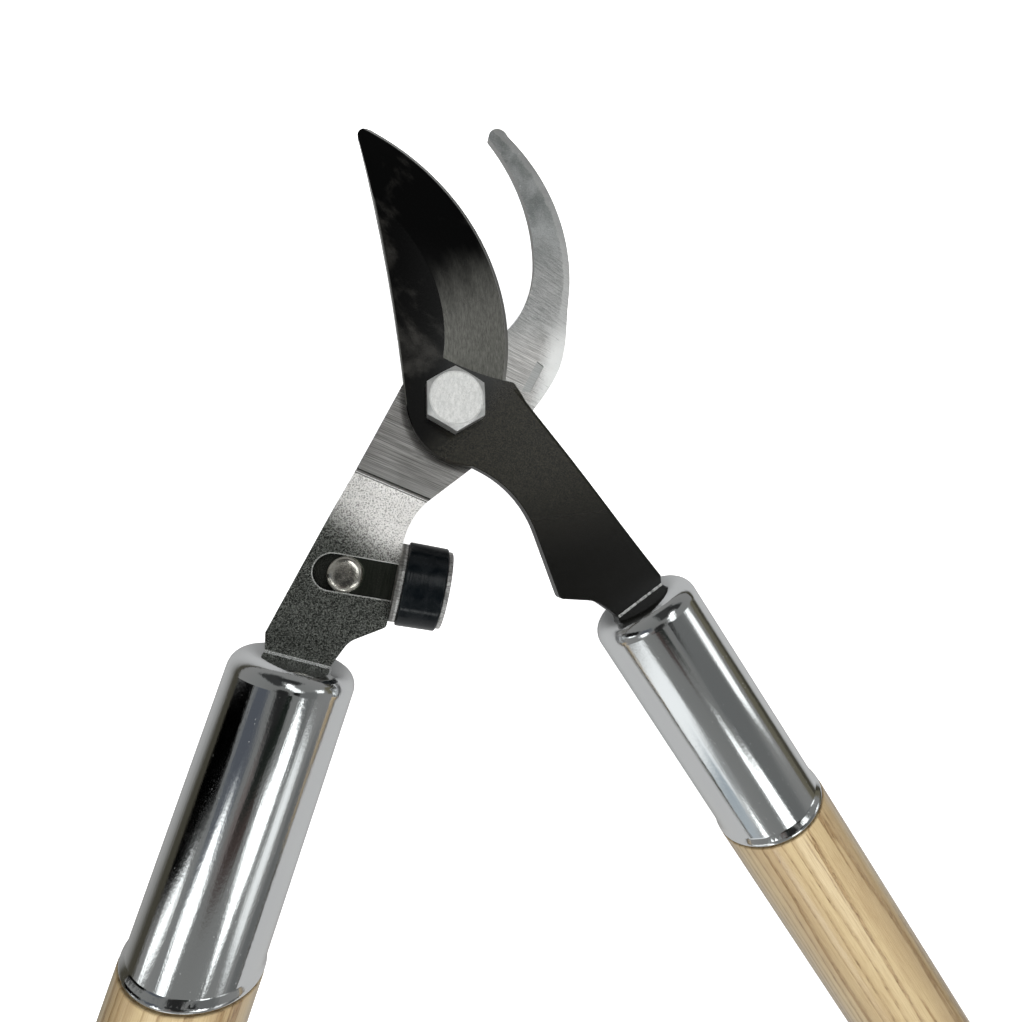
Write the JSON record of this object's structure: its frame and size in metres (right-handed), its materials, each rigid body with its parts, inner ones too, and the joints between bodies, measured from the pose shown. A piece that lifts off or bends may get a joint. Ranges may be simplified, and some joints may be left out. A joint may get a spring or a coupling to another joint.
{
  "type": "bypass loppers",
  "caption": "Long-handled bypass loppers, half open: black curved blade, ground steel hook, rubber bumper and straight wooden handles in chrome ferrules.",
  "frame": {"origin": "middle of the tool's box in X and Y, on the plane through the foot of the pivot bolt", "axes": "+Z out of the blade's face along the pivot bolt, +Y from the handles towards the cutting tips, +X towards the blade side's handle"},
  "size_m": [0.61, 0.6577, 0.0372],
  "materials": {
    "ground_steel": "ground satin steel, blasted and zinc plated below the ridge",
    "black_steel": "semi-gloss black non-stick coating, ground satin bevel",
    "ferrule_chrome": "bright chrome plate",
    "ash_wood": "clear lacquered ash with lengthwise grain",
    "zinc_bolt": "zinc-plated steel, slightly rough",
    "zinc_washer": "stamped zinc-plated washer",
    "bright_steel": "milled flat, satin",
    "nickel_rivet": "nickel-plated dome head",
    "black_rubber": "smooth moulded rubber",
    "nylon": "nylon locking ring"
  },
  "bodies": {
    "hook_side": {"hook_lever": "ground_steel", "ferrule_hook_side": "ferrule_chrome", "handle_hook_side": "ash_wood", "pivot_bolt": "zinc_bolt", "pivot_washer": "zinc_washer", "lock_nut": "zinc_bolt", "nut_insert": "nylon", "bumper_stem": "bright_steel", "bumper_base_washer": "zinc_washer", "bumper_rubber": "black_rubber", "bumper_end_washer": "zinc_washer", "bumper_rivet": "nickel_rivet"},
    "blade_side": {"blade_lever": "black_steel", "ferrule_blade_side": "ferrule_chrome", "handle_blade_side": "ash_wood"}
  },
  "joints": [
    {"name": "pivot", "type": "hinge", "parent": "hook_side", "child": "blade_side", "pos_m": [0.00108, 0.24442, 0.0195], "axis": [0, 0, -1], "range_deg": [-25, 31.5]}
  ]
}
